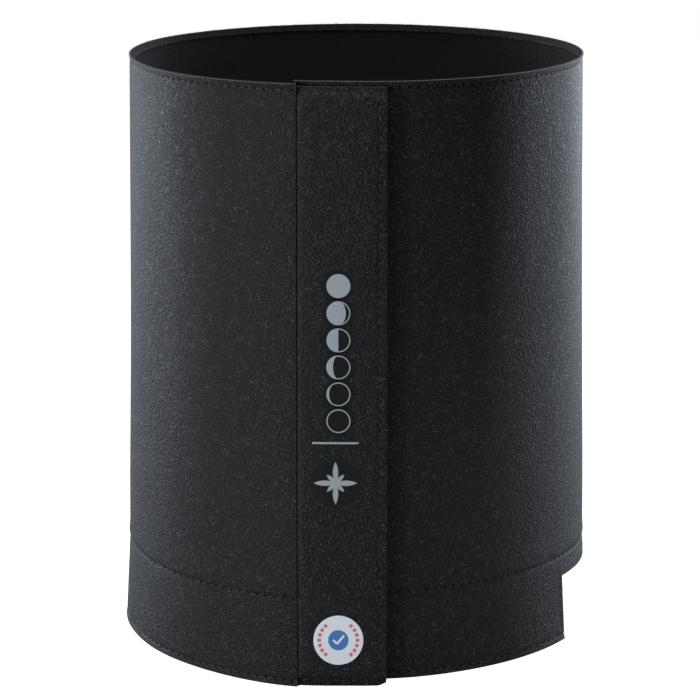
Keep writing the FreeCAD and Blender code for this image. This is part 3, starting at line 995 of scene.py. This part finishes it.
art(ink, 64, 5, star(star_centre, 11.0 * MM, 6.2 * MM, 2.6 * MM))
art(clear, 64, 8, ring(star_centre, 12.5 * MM, 12.5 * MM))
piece = printed("print_film", clear, film, 0.02 * MM, 0.03 * MM)
piece = printed("print_ink", ink, ink_grey, 0.06 * MM, 0.05 * MM)
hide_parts("printed_mark")

# ---------------------------------------------------------------------------------- the label
# A one-inch round label of white coated paper, stuck to the foot of the flap. Its print is generic:
# a broken red ring and a blue spot with a tick.
label_low, label_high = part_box("round_label")
label_centre = (flap_arc((label_low.x + label_high.x) / 2), (label_low.z + label_high.z) / 2 + 1.0 * MM)
label_radius = (label_high.z - label_low.z) / 2


def paper_or_ink(name, dark, light, roughness):
    """Printed paper with a slight unevenness."""
    material, nodes, links, skin = new_material(name)
    place = node(nodes, "ShaderNodeTexCoord")
    mottle = node(nodes, "ShaderNodeTexNoise", in_2=300.0, in_3=4.0)
    links.new(place.outputs["Object"], mottle.inputs["Vector"])
    tone = mix_of(nodes, dark, light)
    links.new(mottle.outputs["Fac"], tone.inputs["Factor"])
    links.new(tone.outputs["Result"], skin.inputs["Base Color"])
    relief = node(nodes, "ShaderNodeBump")
    relief.inputs["Strength"].default_value = 0.15
    relief.inputs["Distance"].default_value = 0.00005
    links.new(mottle.outputs["Fac"], relief.inputs["Height"])
    links.new(relief.outputs[0], skin.inputs["Normal"])
    skin.inputs["Roughness"].default_value = roughness
    return material


paper_white = paper_or_ink("label_paper", (0.86, 0.88, 0.93), (0.9, 0.92, 0.97), 0.4)
ink_red = paper_or_ink("label_red", (0.7, 0.12, 0.15), (0.8, 0.2, 0.22), 0.45)
ink_blue = paper_or_ink("label_blue", (0.05, 0.19, 0.5), (0.08, 0.25, 0.6), 0.45)
bm = bmesh.new()
art(bm, 64, 8, ring(label_centre, label_radius, label_radius))
piece = printed("round_label", bm, paper_white, 0.05 * MM, 0.1 * MM)
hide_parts("round_label")
bm = bmesh.new()
for middle in (0.5, 1.0):
    for dash in range(-3, 4):
        turn = middle + dash * 0.045
        art(bm, 4, 1, ring(label_centre, 10.6 * MM, 1.7 * MM, turn - 0.014, turn + 0.014))
piece = printed("label_red_ring", bm, ink_red, 0.16 * MM, 0.02 * MM)
bm = bmesh.new()
art(bm, 40, 5, ring(label_centre, 5.2 * MM, 5.2 * MM))
piece = printed("label_blue_spot", bm, ink_blue, 0.16 * MM, 0.02 * MM)
bm = bmesh.new()


def stroke(first, second, width):
    """A straight stroke between two places."""
    run = Vector(second) - Vector(first)
    side_step = run.orthogonal().normalized() * width / 2
    def place(share, up):
        spot = Vector(first) + run * share + side_step * (2 * up - 1)
        return spot.x, spot.y
    return place


tick = [(-2.6, 0.2), (-0.7, -1.9), (2.9, 2.5)]
tick = [(label_centre[0] + across * MM, label_centre[1] + up * MM) for across, up in tick]
for first, second in zip(tick, tick[1:]):
    art(bm, 6, 2, stroke(first, second, 1.1 * MM))
piece = printed("label_tick", bm, paper_white, 0.2 * MM, 0.02 * MM)

# ------------------------------------------------------------------------ floor, light and camera
# A pale sweep of paper in a dim room. Soft boxes behind the shield draw its two sides, a key and a
# second light shape the front, a low one lifts the lower right and two from above reach inside.
bpy.context.view_layer.update()
bm = bmesh.new()
bmesh.ops.create_grid(bm, x_segments=1, y_segments=1, size=6.0)
bmesh.ops.translate(bm, verts=bm.verts, vec=(0, 0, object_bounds()[0].z))
paper, nodes, links, skin = new_material("floor_paper")
skin.inputs["Base Color"].default_value = (0.5, 0.505, 0.51, 1)
skin.inputs["Roughness"].default_value = 0.9
skin.inputs["Specular IOR Level"].default_value = 0.1
path = node(nodes, "ShaderNodeLightPath")
glow = node(nodes, "ShaderNodeEmission", in_0=(1.0, 1.0, 1.0, 1), in_1=0.985)
seen = node(nodes, "ShaderNodeAddShader")
either = node(nodes, "ShaderNodeMixShader")
links.new(skin.outputs[0], seen.inputs[0])
links.new(glow.outputs[0], seen.inputs[1])
links.new(path.outputs["Is Camera Ray"], either.inputs[0])
links.new(skin.outputs[0], either.inputs[1])
links.new(seen.outputs[0], either.inputs[2])
links.new(either.outputs[0], nodes["Material Output"].inputs[0])
floor = finished("floor", bm, [paper], smooth=False)

world = bpy.data.worlds.new("studio")
bpy.context.scene.world = world
world.use_nodes = True
nodes, links = world.node_tree.nodes, world.node_tree.links
room = nodes["Background"]
room.inputs["Color"].default_value = (0.85, 0.92, 1.0, 1)
room.inputs["Strength"].default_value = 0.01
seen = node(nodes, "ShaderNodeBackground", in_0=(1.0, 1.0, 1.0, 1), in_1=1.0)
path = node(nodes, "ShaderNodeLightPath")
either = node(nodes, "ShaderNodeMixShader")
links.new(path.outputs["Is Camera Ray"], either.inputs[0])
links.new(room.outputs[0], either.inputs[1])
links.new(seen.outputs[0], either.inputs[2])
links.new(either.outputs[0], nodes["World Output"].inputs[0])


def softbox(name, turn, lift, reach, width, height, power, colour, aim_height=0.15):
    """A soft light, turned in degrees from the front towards the right and lifted from the aim."""
    aim = Vector((0, 0, aim_height))
    level = reach * math.cos(math.radians(lift))
    across = math.sin(math.radians(turn))
    ahead = -math.cos(math.radians(turn))
    light = bpy.data.lights.new(name, "AREA")
    light.shape = "RECTANGLE"
    light.size = width
    light.size_y = height
    light.energy = power
    light.color = colour
    lamp = bpy.data.objects.new(name, light)
    lamp.location = aim + Vector((level * across, level * ahead, reach * math.sin(math.radians(lift))))
    lamp.rotation_euler = (aim - lamp.location).to_track_quat("-Z", "Y").to_euler()
    bpy.context.scene.collection.objects.link(lamp)


cool, neutral = (0.89, 0.97, 1.1), (0.97, 1.0, 1.03)
softbox("left_back_softbox", -129, 5, 1.5, 0.5, 1.3, 21.5, cool, aim_height=0.05)
softbox("right_back_softbox", 126, 3, 1.5, 0.5, 1.3, 17.5, cool, aim_height=0.03)
softbox("right_far_softbox", 150, 5, 1.5, 0.5, 1.3, 13, cool, aim_height=0.08)
softbox("key_softbox", -58, 2, 1.6, 0.14, 0.3, 15.5, neutral)
softbox("second_softbox", -40, 35, 1.6, 0.4, 0.4, 2.5, neutral)
softbox("low_right_softbox", 62, 4, 0.36, 0.4, 0.03, 0.2, neutral, aim_height=0.0)
softbox("top_softbox", 60, 72, 1.4, 0.5, 0.5, 1.4, neutral)
softbox("overhead_softbox", 0, 86, 1.3, 0.6, 0.6, 8, neutral)

camera_data = bpy.data.cameras.new("camera")
camera_data.lens = 153.65
camera_data.sensor_width = 36.0
camera_data.shift_x = -0.0089
camera_data.clip_start = 0.05
camera = bpy.data.objects.new("camera", camera_data)
camera.location = (0, -1.5553, 0.5066)
camera.rotation_euler = (math.radians(90 - 13.11), 0, 0)
bpy.context.scene.collection.objects.link(camera)
bpy.context.scene.camera = camera

bpy.context.scene.view_settings.view_transform = "Standard"
